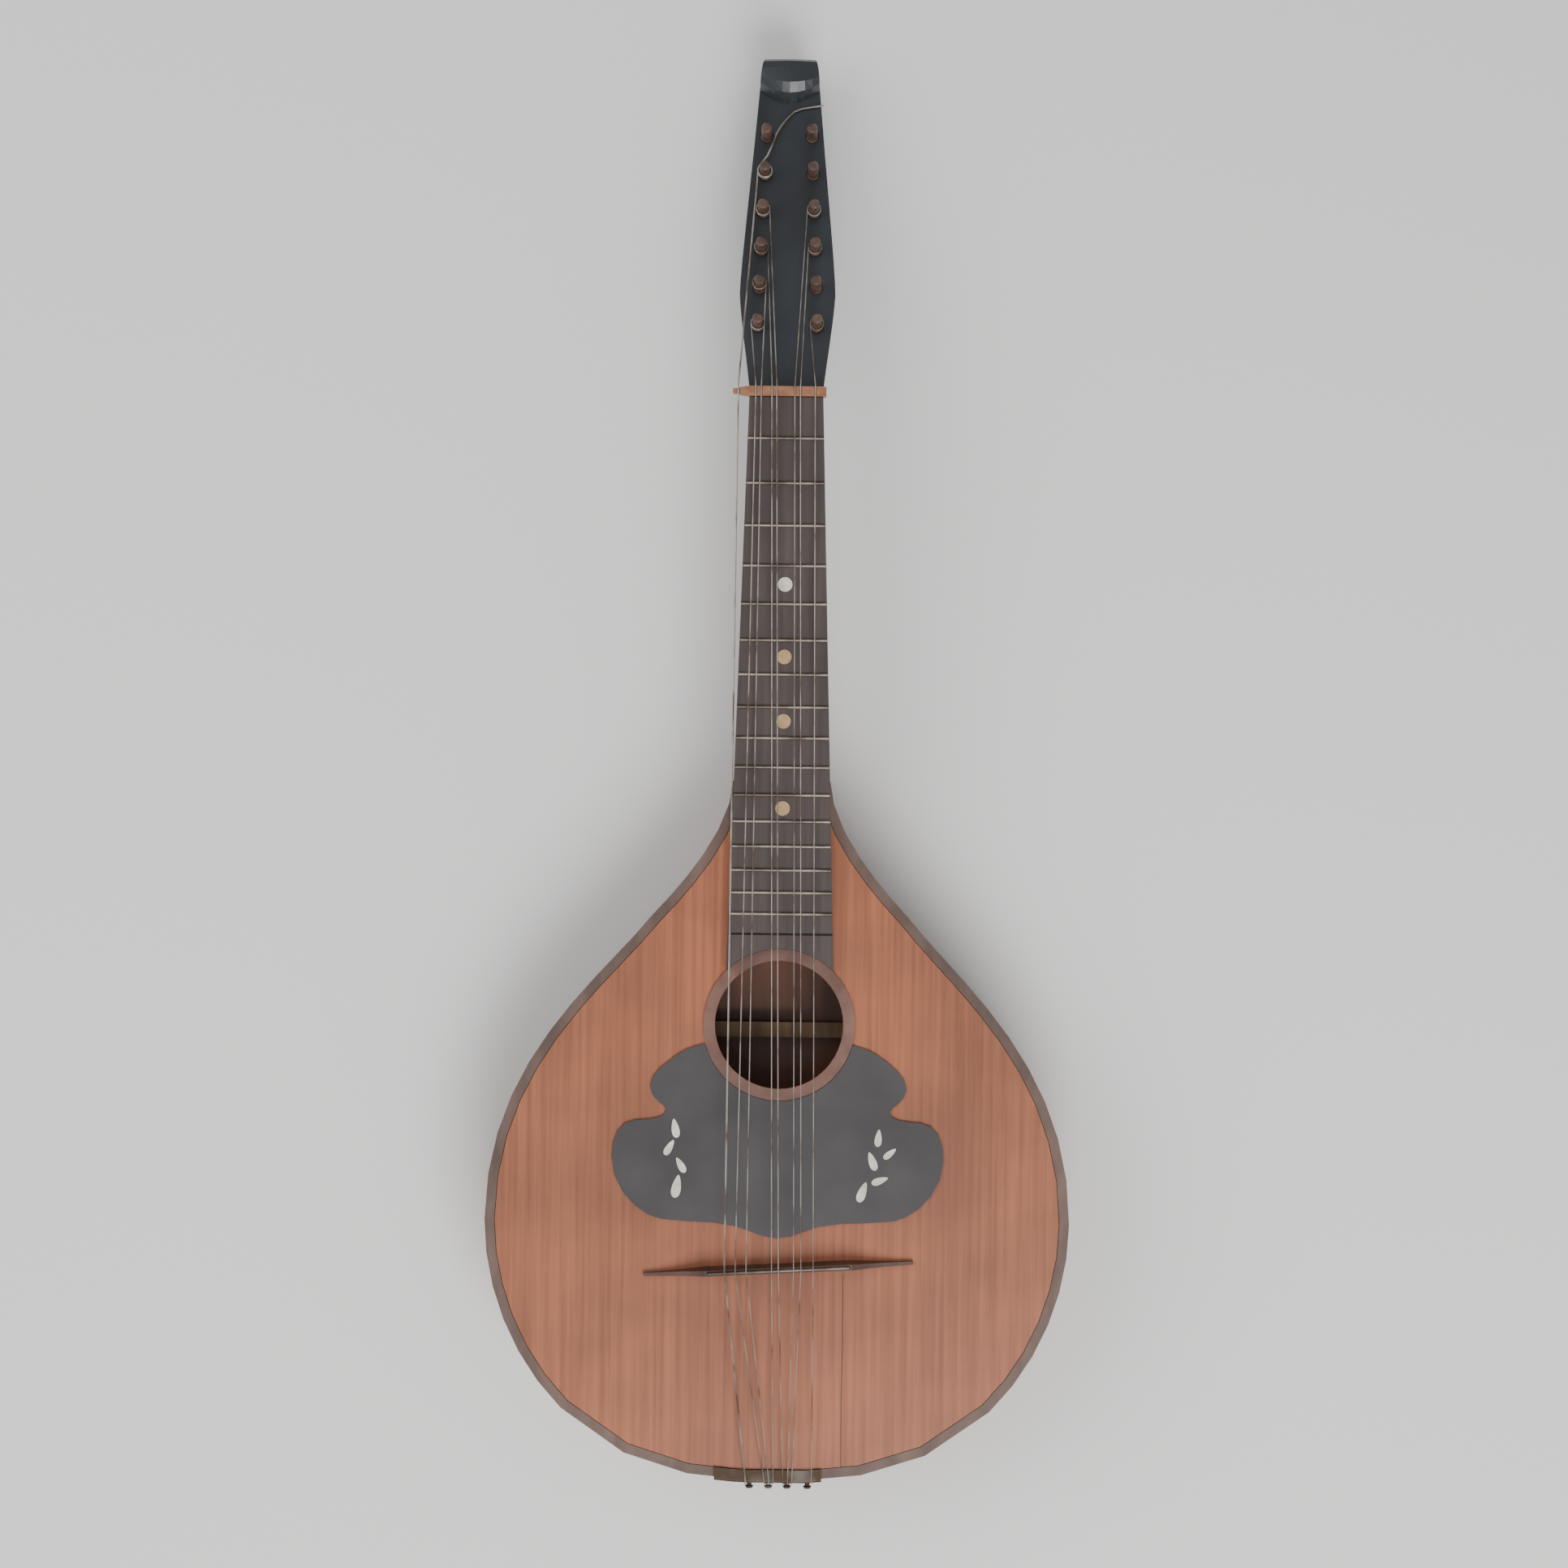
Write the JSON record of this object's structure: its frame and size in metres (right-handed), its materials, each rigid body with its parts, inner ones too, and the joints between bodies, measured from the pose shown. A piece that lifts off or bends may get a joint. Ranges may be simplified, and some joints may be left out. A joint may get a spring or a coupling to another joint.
{
  "type": "waldzither",
  "caption": "Flat-backed teardrop-bodied cittern with round soundhole, fretted neck, floating bridge, rear-facing friction tuning pegs and wire strings hooked at the tail.",
  "frame": {"origin": "on the flat back at the middle of the instrument, level with the widest part of the body", "axes": "+Y along the neck towards the head, +Z out of the soundboard, +X towards the treble side"},
  "size_m": [0.3024, 0.7479, 0.0789],
  "materials": {
    "spruce": "varnished",
    "maple": "varnished",
    "raw_wood": "bare",
    "edge_wood": "worn",
    "ring_wood": "varnished",
    "dark_plate": "satin",
    "board_wood": "worn",
    "black_lacquer": "lacquered",
    "fret_metal": "tarnished",
    "nut_wood": "satin",
    "bridge_wood": "satin",
    "peg_wood": "satin",
    "steel": "worn",
    "rusty_steel": "rusty"
  },
  "bodies": {
    "instrument": {"soundboard": "spruce", "back_plate": "maple", "edge_binding": "edge_wood", "rib_right": "maple", "rib_left": "maple", "top_lining_right": "raw_wood", "top_lining_left": "raw_wood", "back_lining_right": "raw_wood", "back_lining_left": "raw_wood", "tail_block": "raw_wood", "neck_block": "raw_wood", "top_brace_upper": "raw_wood", "top_brace_lower": "raw_wood", "back_brace_upper": "raw_wood", "back_brace_lower": "raw_wood", "soundhole_ring": "ring_wood", "pickguard": "dark_plate", "fretboard": "board_wood", "nut": "nut_wood", "neck": "maple", "headstock": "black_lacquer", "tailpiece": "rusty_steel", "fret_01": "fret_metal", "fret_02": "fret_metal", "fret_03": "fret_metal", "fret_04": "fret_metal", "fret_05": "fret_metal", "fret_06": "fret_metal", "fret_07": "fret_metal", "fret_08": "fret_metal", "fret_09": "fret_metal", "fret_10": "fret_metal", "fret_11": "fret_metal", "fret_12": "fret_metal", "fret_13": "fret_metal", "fret_14": "fret_metal", "fret_15": "fret_metal", "fret_16": "fret_metal", "string_1": "steel", "string_2": "steel", "string_3": "steel", "string_4": "steel", "string_5": "steel", "string_6": "steel", "string_7": "steel", "string_8": "steel"},
    "bridge": {"bridge": "bridge_wood", "saddle": "fret_metal"},
    "peg_bass_1": {"peg_bass_1": "peg_wood"},
    "peg_bass_2": {"peg_bass_2": "peg_wood"},
    "peg_bass_3": {"peg_bass_3": "peg_wood"},
    "peg_bass_4": {"peg_bass_4": "peg_wood"},
    "peg_bass_5": {"peg_bass_5": "peg_wood"},
    "peg_bass_6": {"peg_bass_6": "peg_wood"},
    "peg_treble_1": {"peg_treble_1": "peg_wood"},
    "peg_treble_2": {"peg_treble_2": "peg_wood"},
    "peg_treble_3": {"peg_treble_3": "peg_wood"},
    "peg_treble_4": {"peg_treble_4": "peg_wood"},
    "peg_treble_5": {"peg_treble_5": "peg_wood"},
    "peg_treble_6": {"peg_treble_6": "peg_wood"}
  },
  "joints": [
    {"name": "bridge_slide", "type": "slide", "parent": "instrument", "child": "bridge", "axis": [0, 1, 0], "range_m": [-0.003, 0.005]},
    {"name": "peg_bass_1_turn", "type": "hinge", "parent": "instrument", "child": "peg_bass_1", "pos_m": [-0.0153, 0.46628, 0.05914], "axis": [0, 0.2079, 0.9781], "continuous": true},
    {"name": "peg_bass_2_turn", "type": "hinge", "parent": "instrument", "child": "peg_bass_2", "pos_m": [-0.01462, 0.48672, 0.05479], "axis": [0, 0.2079, 0.9781], "continuous": true},
    {"name": "peg_bass_3_turn", "type": "hinge", "parent": "instrument", "child": "peg_bass_3", "pos_m": [-0.01394, 0.50716, 0.05045], "axis": [0, 0.2079, 0.9781], "continuous": true},
    {"name": "peg_bass_4_turn", "type": "hinge", "parent": "instrument", "child": "peg_bass_4", "pos_m": [-0.01326, 0.52761, 0.0461], "axis": [0, 0.2079, 0.9781], "continuous": true},
    {"name": "peg_bass_5_turn", "type": "hinge", "parent": "instrument", "child": "peg_bass_5", "pos_m": [-0.01258, 0.54805, 0.04176], "axis": [0, 0.2079, 0.9781], "continuous": true},
    {"name": "peg_bass_6_turn", "type": "hinge", "parent": "instrument", "child": "peg_bass_6", "pos_m": [-0.0119, 0.56849, 0.03741], "axis": [0, 0.2079, 0.9781], "continuous": true},
    {"name": "peg_treble_1_turn", "type": "hinge", "parent": "instrument", "child": "peg_treble_1", "pos_m": [0.0153, 0.46628, 0.05914], "axis": [0, 0.2079, 0.9781], "continuous": true},
    {"name": "peg_treble_2_turn", "type": "hinge", "parent": "instrument", "child": "peg_treble_2", "pos_m": [0.01462, 0.48672, 0.05479], "axis": [0, 0.2079, 0.9781], "continuous": true},
    {"name": "peg_treble_3_turn", "type": "hinge", "parent": "instrument", "child": "peg_treble_3", "pos_m": [0.01394, 0.50716, 0.05045], "axis": [0, 0.2079, 0.9781], "continuous": true},
    {"name": "peg_treble_4_turn", "type": "hinge", "parent": "instrument", "child": "peg_treble_4", "pos_m": [0.01326, 0.52761, 0.0461], "axis": [0, 0.2079, 0.9781], "continuous": true},
    {"name": "peg_treble_5_turn", "type": "hinge", "parent": "instrument", "child": "peg_treble_5", "pos_m": [0.01258, 0.54805, 0.04176], "axis": [0, 0.2079, 0.9781], "continuous": true},
    {"name": "peg_treble_6_turn", "type": "hinge", "parent": "instrument", "child": "peg_treble_6", "pos_m": [0.0119, 0.56849, 0.03741], "axis": [0, 0.2079, 0.9781], "continuous": true}
  ]
}
